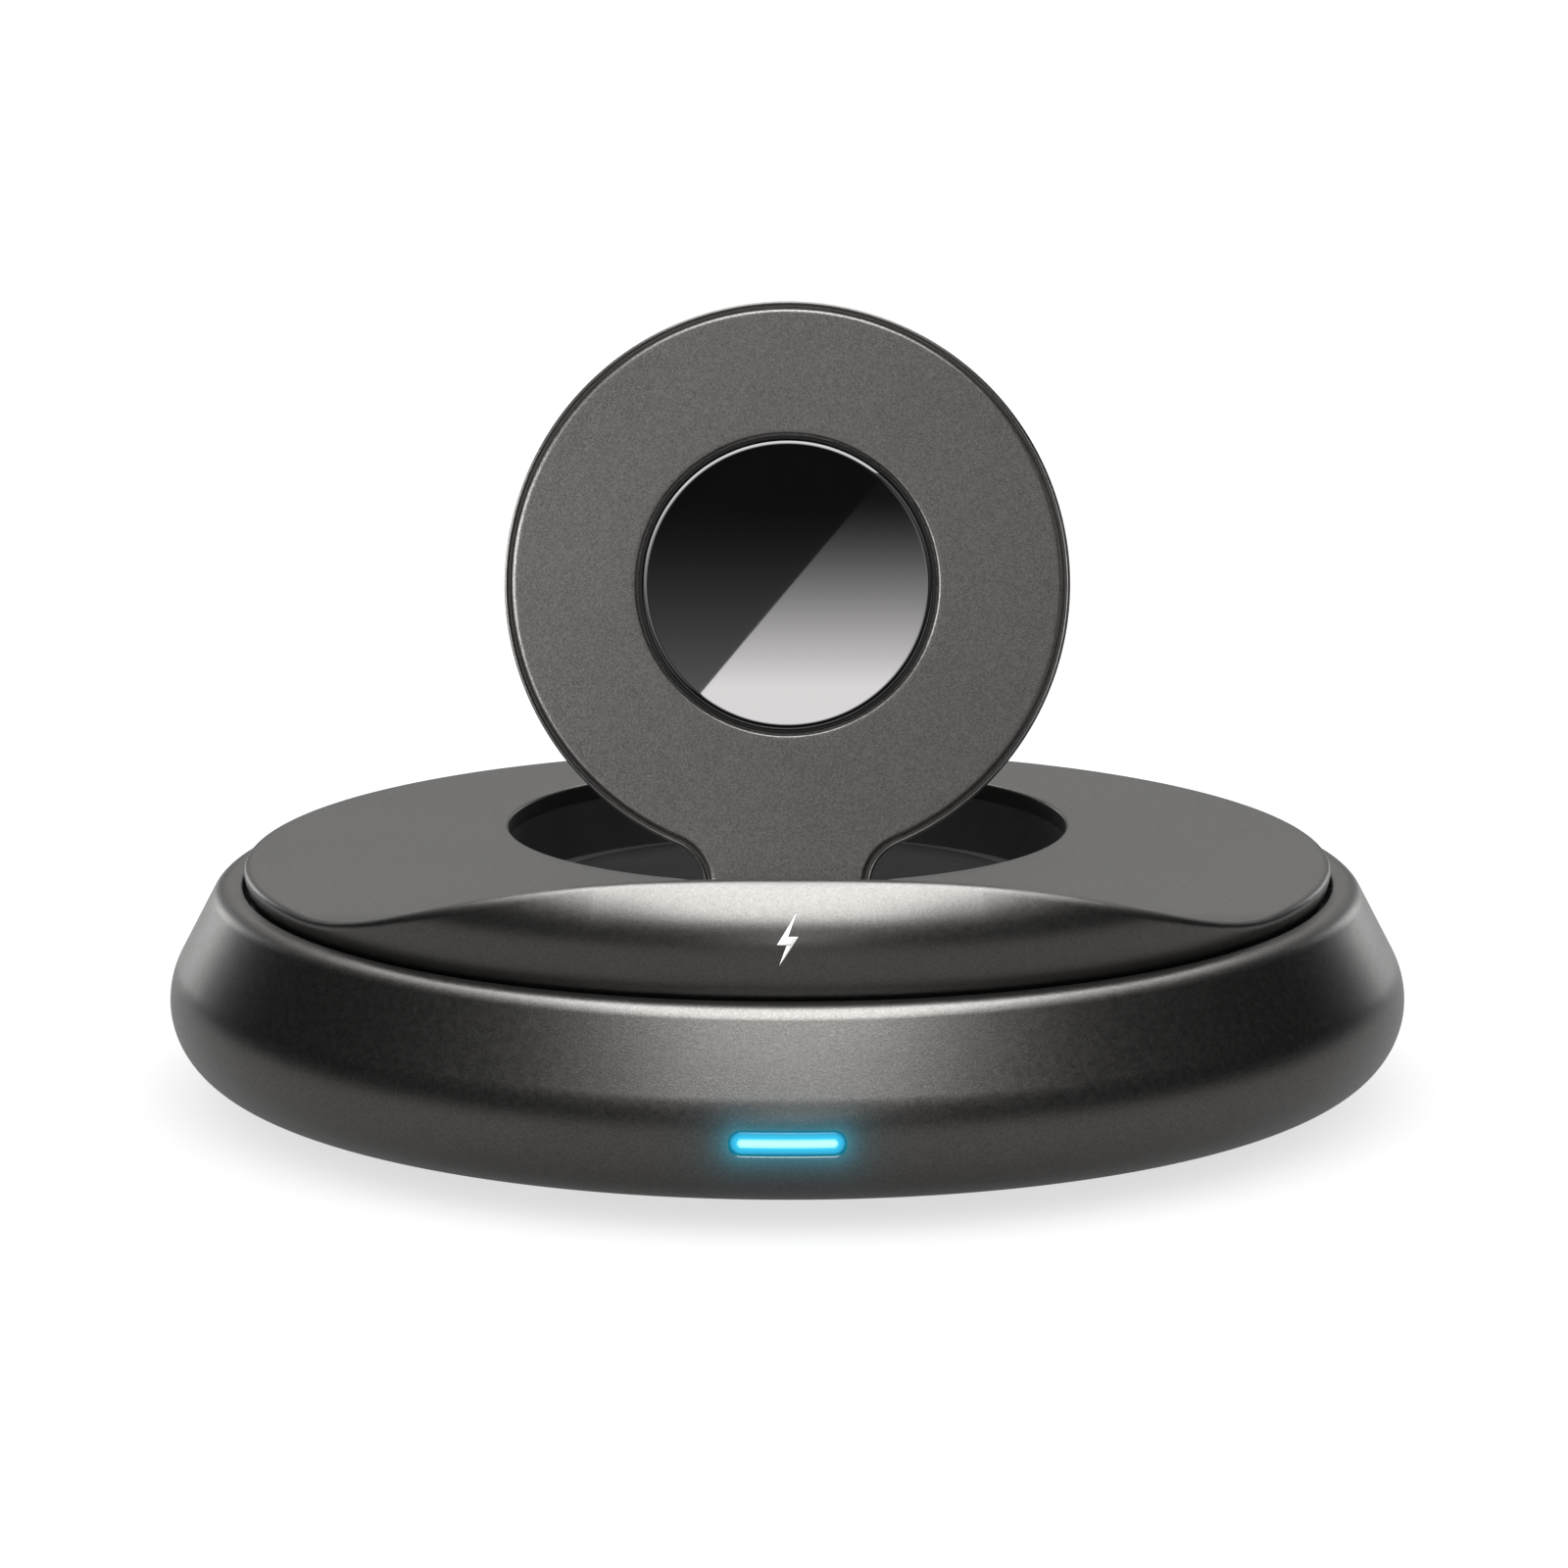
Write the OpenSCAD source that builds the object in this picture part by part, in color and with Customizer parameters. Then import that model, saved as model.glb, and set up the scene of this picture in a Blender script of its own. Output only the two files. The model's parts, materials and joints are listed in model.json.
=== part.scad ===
// Round desktop wireless charging pad with a fold-flat charging disc.
// Millimetres, +Z up, origin on the table under the middle of the base, front towards -Y.

/* [Base] */
// Largest radius of the flared skirt
base_r = 66.9; // [63:0.1:81]
// Height of the flat top above the table
base_h = 25.3; // [24.5:0.1:31]
// Height of the widest line of the skirt above the table
belly_z = 10.5; // [10:0.1:12]
// Radius of the rounding round the widest line
belly_round = 9; // [8:0.1:9]
// Radius of the rounding at the skirt's shoulder
shoulder_round = 2.5; // [2.4:0.1:3]
// Wall thickness of the skirt and the cap
wall = 2; // [1.6:0.1:2.2]
// Height of the rubber foot under the skirt
foot_h = 2.4; // [2:0.1:2.8]

/* [Cap] */
// Height of the front lip above the flat top
lip_h = 9.6; // [8:0.1:11.6]
// Height of the cap's widest line above the flat top
cap_belly = 2.4; // [2:0.1:3]
// Width of the shadow gap between cap and skirt
seam_gap = 0.45; // [0.3:0.05:0.8]
// Distance from the cap's edge to the back of the well
well_margin = 10.55; // [10:0.05:13]

/* [Disc] */
// Radius of the charging disc
disc_r = 30; // [25:0.1:36]
// Thickness of the charging disc
disc_t = 7.1; // [7:0.1:8.6]
// Lean of the upright disc from vertical, in degrees
lean = 9; // [0:1:25]
// Distance from the disc's edge to the hinge axis
neck_len = 6.5; // [6:0.1:8]
// Width of the neck
neck_w = 17.7; // [16:0.1:21.3]
// Radius of the inside corners between neck and disc
neck_fillet = 4.8; // [4:0.1:5.8]
// Width of the groove round the face plate
face_groove = 0.2; // [0.1:0.05:0.4]
// Width of the back shell's rim that shows round the face plate
rim_w = 0.6; // [0.5:0.05:0.8]
// Radius of the glossy centre lens
lens_r = 15.4; // [12.8:0.1:18.5]

/* [Well] */
// Gap all round the folded disc
well_gap = 0.4; // [0.35:0.05:0.8]
// Extra room round the disc's near side, which swings past the cap's edge
well_ease = 0.35; // [0.3:0.05:0.6]
// Gap under the folded disc
under_gap = 0.55; // [0.35:0.05:0.8]
// Thickness of the pad on the well's floor
pad_t = 0.4; // [0.2:0.1:0.6]
// Wall thickness of the well tray
tray_wall = 1.5; // [1.2:0.1:1.8]

/* [Hinge] */
// Radius of the hinge pins
pin_r = 1.5; // [1.2:0.1:1.5]
// Radial clearance of the pins in their sleeves
pin_fit = 0.05; // [0.02:0.01:0.08]
// Outside radius of the friction sleeves
sleeve_r = 2.6; // [2.4:0.1:3.1]
// Length of the friction sleeves
sleeve_len = 7; // [5.9:0.1:8.4]

/* [Indicator] */
// Width of the indicator light
light_w = 12; // [10:0.1:14.4]
// Height of the indicator light
light_h = 2.65; // [2.2:0.05:3.2]

/* [Hidden] */
$fn = 96;
big = 400;
eps = 0.01;

// Cap and well
cap_r = base_r - 7.55;
lip_round = lip_h - cap_belly;
cap_belly_z = base_h + cap_belly;
under_round = 14.7;
well_y = cap_r - well_margin - disc_r;
arm_len = disc_r + neck_len;
hinge_y = well_y - arm_len;
half_t = disc_t / 2;
hinge_z = base_h - half_t - 0.05;
floor_z = base_h - disc_t - 0.05 - under_gap - pad_t;
rest_angle = 90 - lean;
ramp_y = hinge_y - 9.3;
ramp_run = cap_r - lip_round + ramp_y;
ramp_r = (ramp_run * ramp_run + lip_h * lip_h) / (2 * lip_h);
slot_front = half_t + 0.55;

// Skirt
skirt_top = base_h - 2.2;
ledge_z = skirt_top - 1.7;
bore_r = cap_r + seam_gap;
ledge_t = 2;
ledge_in = cap_r - 7.2;
cover_t = 1.6;
cover_top = foot_h + cover_t;
cover_r = base_r - belly_round - 1.5;
cover_ledge_in = cover_r - 4.4;
cover_ledge_t = 2.1;
cover_screw_r = cover_r - 2.2;
foot_r = cover_r - 9;
cap_screw_r = cap_r - 4.85;

// Board
board_z = cover_top + 3.6;
board_t = 1.2;
board_top = board_z + board_t;
board_r = cover_ledge_in * 0.75;
post_at = board_r - 6;
post_r = 2.2;
ballast_h = 3;
ballast_hole_r = 20;

// Socket
socket_w = 8.94;
socket_h = 3.16;
socket_len = 7.3;
socket_y = base_r - 1;
socket_z = board_top + socket_h / 2;

// Indicator
light_z = belly_z - 0.5;
baffle_wall = 1.2;
baffle_depth = 8;
led_board_y = -(base_r - wall - baffle_depth);

// Hinge
bracket_in = neck_w / 2 + well_gap + tray_wall + 0.35;
bracket_out = bracket_in + sleeve_len + 1;
bracket_wall = 1.2;
bracket_r = sleeve_r + bracket_wall;
hinge_screw_x = bracket_out + 3.2;
hinge_screw_ys = [-4.6, 3.4];
flange_z = base_h - 8.1;
flange_t = 2;
pin_in = 5;
pin_out = bracket_out - 0.5;
wire_r = 0.7;
wire_y = hinge_y;
wire_x = -(hinge_screw_x + 7);

// Disc stack, heights from the disc's mid-plane
shell_floor = -half_t + 1.2;
plate_z = half_t - 1.8;
rim_z = half_t - 0.3;
cavity_r = disc_r - 1.6;
face_inset = rim_w + face_groove;
recess_r = lens_r + 0.65;
recess_z = plate_z + 0.5;
lens_top = half_t - 0.25;
lens_dish = 0.4;
carrier_out = cavity_r - 0.1;
carrier_in = disc_r * 0.72;
carrier_floor = 0.7;
yoke_t = 0.6;
magnet_t = 2.5;
magnet_gap = 22;
magnet_count = 16;
board2_z = shell_floor + 0.6;
board2_t = 0.8;
board2_r = carrier_in - 1.7;
chip2_t = 0.6;
ferrite_z = board2_z + board2_t + chip2_t + 0.05;
ferrite_t = 0.7;
coil_turns = 10;
coil_wire = 0.85;
coil_pitch = 1.05;
arm_screw_x = 5.4;
arm_screw_y = 6.3;

function polar(r, a) = [r * cos(a), r * sin(a)];

// ---------- shared shapes ----------

module ring(r_out, r_in, z, h) {
    translate([0, 0, z]) difference() {
        cylinder(r = r_out, h = h);
        translate([0, 0, -1]) cylinder(r = r_in, h = h + 2);
    }
}

module disc(r, z, h) {
    translate([0, 0, z]) cylinder(r = r, h = h);
}

module around(count, radius, start = 0) {
    for (i = [0 : count - 1])
        rotate([0, 0, start + i * 360 / count]) translate([radius, 0, 0]) children();
}

module pill(w, h) {
    square([w - h, h], center = true);
    for (s = [-1, 1]) translate([s * (w - h) / 2, 0]) circle(d = h);
}

// A cylinder along X from x0 to x1 on the hinge axis of the arm
module x_rod(r, x0, x1) {
    translate([min(x0, x1), 0, 0]) rotate([0, 90, 0]) cylinder(r = r, h = abs(x1 - x0));
}

// A round wire through a list of points
module wire(points, r) {
    for (i = [0 : len(points) - 2]) {
        a = points[i];
        d = points[i + 1] - a;
        length = norm(d);
        translate(a) rotate([0, acos(d[2] / length), atan2(d[1], d[0])]) cylinder(r = r, h = length);
    }
    for (i = [1 : len(points) - 2]) translate(points[i]) sphere(r = r * 1.03);
}

// A screw that points up: its head is below z = 0 and its shank above it
module screw_up(head_r, head_h, shank_r, shank_len) {
    translate([0, 0, -head_h]) difference() {
        cylinder(r = head_r, h = head_h);
        translate([0, 0, -1]) cylinder(r = head_r * 0.45, h = 1 + head_h * 0.5, $fn = 6);
    }
    translate([0, 0, -eps]) cylinder(r = shank_r, h = shank_len + eps);
}

// ---------- skirt ----------

// Half section of the skirt's solid, moved inwards by inset
module skirt_outline(inset = 0) {
    b = [base_r - belly_round, belly_z];
    s = [bore_r + 0.4, skirt_top - shoulder_round];
    d = s - b;
    slope = atan2(d[1], d[0]) - acos((belly_round - shoulder_round) / norm(d));
    rb = belly_round - inset;
    rs = shoulder_round - inset;
    low_round = belly_z - foot_h;
    low = [base_r - low_round, belly_z];
    bottom = foot_h + inset;
    difference() {
        translate(b) circle(r = rb);
        translate([0, belly_z - big]) square([2 * big, big]);
    }
    difference() {
        translate(low) circle(r = low_round - inset);
        translate([0, belly_z]) square([2 * big, big]);
    }
    translate(s) circle(r = rs);
    polygon([
        [0, bottom], [low[0], bottom], low, b + polar(rb, slope), s + polar(rs, slope),
        [s[0], s[1] + rs], [0, s[1] + rs]
    ]);
}

module skirt_shell() {
    color("dimgray") difference() {
        rotate_extrude() difference() {
            skirt_outline();
            difference() {
                skirt_outline(wall);
                translate([ledge_in, ledge_z - ledge_t]) square([big, ledge_t]);
                translate([cover_ledge_in, 0]) square([big, cover_top + cover_ledge_t]);
            }
            translate([0, ledge_z]) square([bore_r, big]);
            translate([0, ledge_z - ledge_t - 1]) square([ledge_in, big]);
            translate([0, -1]) square([cover_r, cover_top + 1]);
            translate([0, -1]) square([cover_ledge_in, cover_top + cover_ledge_t + 1]);
        }
        around(6, cap_screw_r, 30) translate([0, 0, ledge_z - 4]) cylinder(r = 1.2, h = 6);
        around(6, cover_screw_r, 0) translate([0, 0, cover_top - 1]) cylinder(r = 1, h = 3.6);
        translate([0, socket_y + 5, socket_z]) rotate([90, 0, 0])
            linear_extrude(height = 10) pill(socket_w + 0.4, socket_h + 0.4);
        translate([0, -(base_r - wall - 3), light_z]) rotate([90, 0, 0])
            linear_extrude(height = 10) pill(light_w, light_h);
    }
}

module bottom_cover() {
    color("#222222") difference() {
        union() {
            disc(cover_r, foot_h, cover_t);
            around(4, post_at, 45) disc(post_r, cover_top - eps, board_z - cover_top + eps);
        }
        around(4, post_at, 45) disc(0.9, cover_top + 0.4, 10);
        around(6, cover_screw_r, 0) {
            disc(1.9, foot_h - 1, 1.8);
            disc(1.1, foot_h, 5);
        }
    }
}

module foot_ring() {
    color("#1a1a1a") ring(foot_r, foot_r - 8, 0, foot_h);
}

module ballast_plate() {
    color("slategray") difference() {
        ring(cover_ledge_in - 0.6, ballast_hole_r, cover_top, ballast_h);
        around(4, post_at, 45) disc(post_r + 0.8, 0, 20);
    }
}

module cover_screws() {
    color("silver") around(6, cover_screw_r, 0) translate([0, 0, foot_h + 0.8]) screw_up(1.8, 0.7, 1, 3.3);
}

// ---------- main board ----------

module main_board() {
    color("darkgreen") difference() {
        translate([0, 0, board_z]) linear_extrude(height = board_t) {
            circle(r = board_r);
            translate([-10, 0]) square([20, socket_y - socket_len + 5]);
        }
        around(4, post_at, 45) disc(1.1, 0, 20);
        disc(5, 0, 20);
    }
}

module board_screws() {
    color("silver") around(4, post_at, 45) translate([0, 0, board_top]) rotate([180, 0, 0])
        screw_up(1.9, 1.2, 0.9, board_t + 3);
}

module chip(x, y, w, d, h) {
    translate([x - w / 2, y - d / 2, board_top]) cube([w, d, h]);
}

module controller_chips() {
    color("#151515") {
        chip(-14, 12, 7, 7, 1);
        chip(12, 18, 5, 6, 1.4);
        chip(16, 4, 5, 5, 0.9);
        chip(0, -16, 6, 4, 1.2);
        chip(-6, 24, 4, 4, 0.9);
    }
}

module inductors() {
    color("#4a4a4a") for (p = [[-10, 32], [10, 30]]) translate([p[0], p[1], board_top]) {
        translate([-3.5, -3.5, 0]) cube([7, 7, 0.8]);
        cylinder(r = 3, h = 3.6);
        translate([-3.5, -3.5, 3.6 - eps]) cube([7, 7, 0.8]);
    }
}

module capacitors() {
    color("#9a9a9a") {
        for (p = [[-22, 2], [-22, 10], [23, -8]]) translate([p[0], p[1], board_top]) {
            translate([-3.3, -3.3, 0]) cube([6.6, 6.6, 0.6]);
            translate([0, 0, 0.6 - eps]) cylinder(r = 3.1, h = 4.2);
        }
        for (x = [-4 : 4 : 8]) chip(x, -8, 1.6, 3.2, 1.6);
    }
}

module usb_c_shell() {
    color("silver") translate([0, socket_y, socket_z]) rotate([90, 0, 0]) difference() {
        linear_extrude(height = socket_len) pill(socket_w, socket_h);
        translate([0, 0, -1]) linear_extrude(height = socket_len + 0.5)
            pill(socket_w - 0.6, socket_h - 0.6);
    }
}

module usb_c_tongue() {
    color("#111111") translate([0, socket_y, socket_z]) rotate([90, 0, 0]) {
        translate([-3.35, -0.35, 0.8]) cube([6.7, 0.7, socket_len - 1.5]);
        translate([0, 0, socket_len - 2.5]) linear_extrude(height = 2)
            pill(socket_w - 0.7, socket_h - 0.7);
    }
}

// ---------- indicator light ----------

module behind_skirt(inset) {
    intersection() {
        rotate_extrude($fn = 720) skirt_outline(inset);
        children();
    }
}

module light_pipe() {
    color("paleturquoise") behind_skirt(0.08) translate([0, -(base_r - wall - 0.8), light_z])
        rotate([90, 0, 0]) linear_extrude(height = 10) pill(light_w, light_h);
}

module light_baffle() {
    half_w = light_w / 2 + baffle_wall;
    half_h = light_h / 2 + baffle_wall;
    color("#0c0c0c") difference() {
        behind_skirt(wall) translate([-half_w, -base_r, light_z - half_h])
            cube([2 * half_w, base_r + led_board_y, 2 * half_h]);
        translate([0, led_board_y + 1, light_z]) rotate([90, 0, 0])
            linear_extrude(height = 20) pill(light_w, light_h);
    }
}

module led_board() {
    half_w = light_w / 2 + baffle_wall;
    color("darkgreen") translate([-half_w, led_board_y, board_top])
        cube([2 * half_w, 1, light_z + light_h / 2 + baffle_wall - board_top]);
    color("darkgreen") translate([-3, -board_r + 2, board_top])
        cube([6, 3, 1.6]);
    color("darkgreen") translate([-1.5, led_board_y + 1 - eps, board_top])
        cube([3, -board_r + 2 - led_board_y - 1 + 2 * eps, 0.3]);
}

module indicator_leds() {
    color("azure") for (i = [-1 : 1])
        translate([i * light_w / 3.6 - 1, led_board_y - 0.9, light_z - 0.5]) cube([2, 0.9, 1]);
}

// ---------- cap ----------

// The round cap with its lip, moved inwards by inset
module cap_solid(inset = 0) {
    low = ledge_z - (inset > 0 ? 1 : 0);
    rt = lip_round - inset;
    ru = under_round - inset;
    difference() {
        rotate_extrude() {
            intersection() {
                translate([cap_r - lip_round, cap_belly_z]) circle(r = rt);
                translate([0, cap_belly_z]) square([big, big]);
            }
            translate([0, cap_belly_z]) square([cap_r - lip_round, rt]);
            intersection() {
                translate([cap_r - under_round, cap_belly_z]) circle(r = ru);
                translate([0, low]) square([big, cap_belly_z - low]);
            }
            translate([0, low]) square([cap_r - under_round, cap_belly_z - low]);
        }
        translate([-big / 2, 0, 0]) rotate([90, 0, 90]) linear_extrude(height = big) {
            translate([ramp_y, base_h + ramp_r]) circle(r = ramp_r + inset);
            translate([ramp_y, base_h - inset]) square([big, big]);
        }
    }
}

// Outline of disc and neck, seen square on and grown by grow; the hinge axis is at y = 0
module arm_outline(grow = 0, start = 0, ease = 0) {
    half_w = neck_w / 2 + grow;
    r = disc_r + grow + ease;
    cy = arm_len - ease;
    rf = neck_fillet - grow;
    fx = half_w + rf;
    fy = cy - sqrt(pow(r + rf, 2) - fx * fx);
    turn = atan2(cy - fy, fx);
    steps = 10;
    corner = [
        for (i = [0 : steps - 1]) [fx - rf * cos(i * turn / steps), fy + rf * sin(i * turn / steps)]
    ];
    inside = [0, cy] + (r - 0.05) / (r + rf) * [fx, fy - cy];
    right = concat([[half_w, start]], corner, [inside, [0, cy]]);
    left = [for (i = [len(right) - 2 : -1 : 0]) [-right[i][0], right[i][1]]];
    translate([0, cy]) circle(r = r);
    polygon(concat(right, left));
}

module well_outline(grow) {
    arm_outline(well_gap + grow, -slot_front - grow, well_ease);
}

module upper_cap() {
    color("dimgray") {
        difference() {
            union() {
                difference() {
                    cap_solid();
                    cap_solid(wall);
                    translate([0, hinge_y, floor_z]) linear_extrude(height = big) well_outline(0);
                }
                around(6, cap_screw_r, 30) disc(2.6, ledge_z + 0.1, base_h - 1.1 - ledge_z);
            }
            around(6, cap_screw_r, 30) disc(0.9, ledge_z - 1, 3.2);
        }
        for (s = [-1, 1], y = hinge_screw_ys) translate([s * hinge_screw_x, hinge_y + y, 0])
            ring(1.8, 0.7, flange_z + flange_t, base_h - wall + eps - flange_z - flange_t);
    }
}

module cap_screws() {
    color("silver") around(6, cap_screw_r, 30) translate([0, 0, ledge_z - ledge_t])
        screw_up(2, 1.2, 0.9, ledge_t + 2);
}

module well_tray() {
    top = base_h - wall;
    color("#1c1c1e") difference() {
        translate([0, hinge_y, floor_z - tray_wall])
            linear_extrude(height = top - floor_z + tray_wall) well_outline(tray_wall);
        translate([0, hinge_y, floor_z]) linear_extrude(height = 20) well_outline(0);
        translate([-20, hinge_y - pin_r - 0.4, hinge_z - pin_r - 0.4]) cube([40, 2 * pin_r + 0.8, 20]);
    }
}

module well_pad() {
    color("#262628") translate([0, well_y, 0]) disc(disc_r - 2, floor_z, pad_t);
}

// ---------- hinge ----------

module at_hinge() {
    translate([0, hinge_y, hinge_z]) children();
}

module hinge_bracket(side) {
    top = base_h - wall - hinge_z;
    low = flange_z - hinge_z;
    at_hinge() mirror([side < 0 ? 1 : 0, 0, 0]) difference() {
        union() {
            translate([bracket_in, -bracket_r, low])
                cube([bracket_out - bracket_in, 2 * bracket_r, top - low]);
            translate([bracket_out - 1.2, -7, low]) cube([7.6, 12.8, flange_t]);
        }
        x_rod(sleeve_r, 0, 40);
        for (y = hinge_screw_ys) translate([hinge_screw_x, y, low - 1]) cylinder(r = 0.9, h = 4);
    }
}

module hinge_bracket_left() {
    color("gray") hinge_bracket(-1);
}

module hinge_bracket_right() {
    color("gray") hinge_bracket(1);
}

module friction_sleeve(side) {
    at_hinge() mirror([side < 0 ? 1 : 0, 0, 0]) difference() {
        x_rod(sleeve_r, bracket_in + 0.5, bracket_in + 0.5 + sleeve_len);
        x_rod(pin_r + pin_fit, 0, 40);
        translate([0, -1, 0]) cube([40, 2, 6]);
        translate([0, -5, base_h - wall - 0.05 - hinge_z]) cube([40, 10, 6]);
    }
}

module friction_sleeve_left() {
    color("peru") friction_sleeve(-1);
}

module friction_sleeve_right() {
    color("peru") friction_sleeve(1);
}

module hinge_screws() {
    color("silver") for (s = [-1, 1], y = hinge_screw_ys)
        translate([s * hinge_screw_x, hinge_y + y, flange_z]) screw_up(1.5, 1, 0.7, 5);
}

module harness_connector() {
    color("ivory") translate([wire_x - 3, wire_y - 2.5, board_top]) difference() {
        cube([6, 5, 3.4]);
        translate([1, 1, 1]) cube([4, 3, 4]);
    }
}

module base_harness() {
    color("firebrick") wire([
        [wire_x, wire_y, board_top + 1 + wire_r], [wire_x, wire_y, hinge_z],
        [-(bracket_out + 0.9), wire_y, hinge_z]
    ], wire_r);
}

// ---------- arm: drawn lying flat, hinge axis at the origin, face up ----------

module arm_place() {
    at_hinge() rotate([rest_angle, 0, 0]) children();
}

module arm_back_shell() {
    color("#2b2b2d") arm_place() difference() {
        union() {
            translate([0, 0, -half_t]) linear_extrude(height = half_t + rim_z) arm_outline();
            x_rod(half_t - 0.05, -neck_w / 2, neck_w / 2);
        }
        translate([0, 0, plate_z]) difference() {
            linear_extrude(height = 5) arm_outline(-rim_w);
            translate([-20, -1, -1]) cube([40, 1 + half_t, 7]);
        }
        translate([0, arm_len, shell_floor]) cylinder(r = cavity_r, h = 10);
        translate([-1.5, 0, -1.5]) cube([3, neck_len + 3, plate_z + 2.5]);
        for (s = [-1, 1]) {
            x_rod(pin_r + 0.01, s * pin_in, s * (neck_w / 2 + 1));
            translate([s * arm_screw_x, arm_screw_y, -half_t - 1]) {
                cylinder(r = 1.4, h = 1.9);
                cylinder(r = 0.8, h = 6);
            }
            translate([s * arm_screw_x, arm_screw_y, 0]) cylinder(r = 1.5, h = 6);
        }
        x_rod(1.2, -pin_in - 1, 1.5);
    }
}

module arm_face_plate() {
    color("dimgray") arm_place() difference() {
        union() {
            difference() {
                translate([0, 0, plate_z]) linear_extrude(height = half_t - plate_z) arm_outline(-face_inset);
                translate([-20, -1, -10]) cube([40, 1 + half_t + face_groove, 20]);
            }
            for (s = [-1, 1]) translate([s * arm_screw_x, arm_screw_y, 0.1])
                cylinder(r = 1.45, h = plate_z + 0.2);
        }
        translate([0, arm_len, recess_z]) cylinder(r = recess_r, h = 10);
        for (s = [-1, 1]) translate([s * arm_screw_x, arm_screw_y, -1]) cylinder(r = 0.6, h = 3.2);
    }
}

module centre_lens() {
    thickness = lens_top - recess_z;
    steps = 16;
    dish = [for (i = [0 : steps]) [lens_r * i / steps, thickness - lens_dish * (1 - pow(i / steps, 2))]];
    color("black") arm_place() translate([0, arm_len, recess_z])
        rotate_extrude() polygon(concat(dish, [[lens_r, 0], [0, 0]]));
}

module lens_gasket() {
    color("#101010") arm_place() translate([0, arm_len, 0])
        ring(lens_r + 0.4, lens_r, recess_z, lens_top - recess_z - 0.2);
}

module carrier_notch() {
    translate([-1.6, -disc_r - 1, -half_t]) cube([3.2, disc_r * 0.6, disc_t]);
}

module magnet_carrier() {
    color("#3a3a3c") arm_place() translate([0, arm_len, 0]) difference() {
        union() {
            ring(carrier_out, carrier_in, shell_floor, carrier_floor);
            ring(carrier_in + 0.8, carrier_in, shell_floor, 3.9);
            ring(carrier_in + eps, board2_r + 0.2, board2_z + board2_t, chip2_t + 0.05);
        }
        carrier_notch();
    }
}

module yoke_plate() {
    color("silver") arm_place() translate([0, arm_len, 0]) difference() {
        ring(carrier_out - 0.1, carrier_in + 0.9, shell_floor + carrier_floor, yoke_t);
        carrier_notch();
    }
}

module magnet_segments() {
    step = (360 - magnet_gap) / magnet_count;
    z = shell_floor + carrier_floor + yoke_t;
    color("lightsteelblue") arm_place() translate([0, arm_len, z])
        for (i = [0 : magnet_count - 1])
            rotate([0, 0, -90 + magnet_gap / 2 + (i + 0.04) * step])
                rotate_extrude(angle = step * 0.92)
                    translate([carrier_in + 1.1, 0]) square([carrier_out - carrier_in - 1.5, magnet_t]);
}

module ferrite_disc() {
    color("#333333") arm_place() translate([0, arm_len, 0]) disc(carrier_in - 0.1, ferrite_z, ferrite_t);
}

module charging_coil() {
    color("chocolate") arm_place() translate([0, arm_len, 0])
        for (i = [0 : coil_turns - 1])
            rotate_extrude() translate([carrier_in - 1.2 - i * coil_pitch, ferrite_z + ferrite_t + coil_wire / 2])
                circle(d = coil_wire);
}

module arm_board() {
    color("darkgreen") arm_place() translate([0, arm_len, 0]) disc(board2_r, board2_z, board2_t);
}

module arm_chips() {
    color("#151515") arm_place() translate([0, arm_len, board2_z + board2_t]) {
        translate([-3, -3, 0]) cube([6, 6, chip2_t]);
        for (a = [30 : 60 : 330]) rotate([0, 0, a]) translate([8, -1.5, 0]) cube([4, 3, chip2_t]);
    }
}

module thermal_pad() {
    color("lightgray") arm_place() translate([0, arm_len, 0])
        disc(board2_r - 2, shell_floor, board2_z - shell_floor);
}

module hinge_pin(side) {
    at_hinge() difference() {
        x_rod(pin_r, side * pin_in, side * pin_out);
        x_rod(0.85, side * (pin_in - 1), side * (pin_out + 1));
    }
}

module hinge_pin_left() {
    color("silver") hinge_pin(-1);
}

module hinge_pin_right() {
    color("silver") hinge_pin(1);
}

module arm_screws() {
    color("silver") arm_place() for (s = [-1, 1])
        translate([s * arm_screw_x, arm_screw_y, -half_t + 0.9]) screw_up(1.3, 0.8, 0.6, 3.6);
}

module arm_harness() {
    color("firebrick") arm_place() wire([
        [-pin_out + 1, 0, 0], [0, 0, 0], [0, neck_len + 1, 0],
        [0, arm_len - board2_r - wire_r, board2_z + board2_t / 2]
    ], wire_r);
}

skirt_shell();
bottom_cover();
foot_ring();
ballast_plate();
cover_screws();
main_board();
board_screws();
controller_chips();
inductors();
capacitors();
usb_c_shell();
usb_c_tongue();
led_board();
indicator_leds();
light_pipe();
light_baffle();
upper_cap();
cap_screws();
well_tray();
well_pad();
hinge_bracket_left();
hinge_bracket_right();
friction_sleeve_left();
friction_sleeve_right();
hinge_screws();
harness_connector();
base_harness();
arm_back_shell();
arm_face_plate();
centre_lens();
lens_gasket();
magnet_carrier();
yoke_plate();
magnet_segments();
ferrite_disc();
charging_coil();
arm_board();
arm_chips();
thermal_pad();
hinge_pin_left();
hinge_pin_right();
arm_screws();
arm_harness();
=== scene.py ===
"""Looks of a round wireless charging pad: gunmetal shells, glossy lens and lit indicator.

Lengths in this file are millimetres until a mesh is made, and metres after that.
"""

import json
import math

import bmesh
import bpy
import numpy as np
from mathutils import Matrix, Vector


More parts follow.
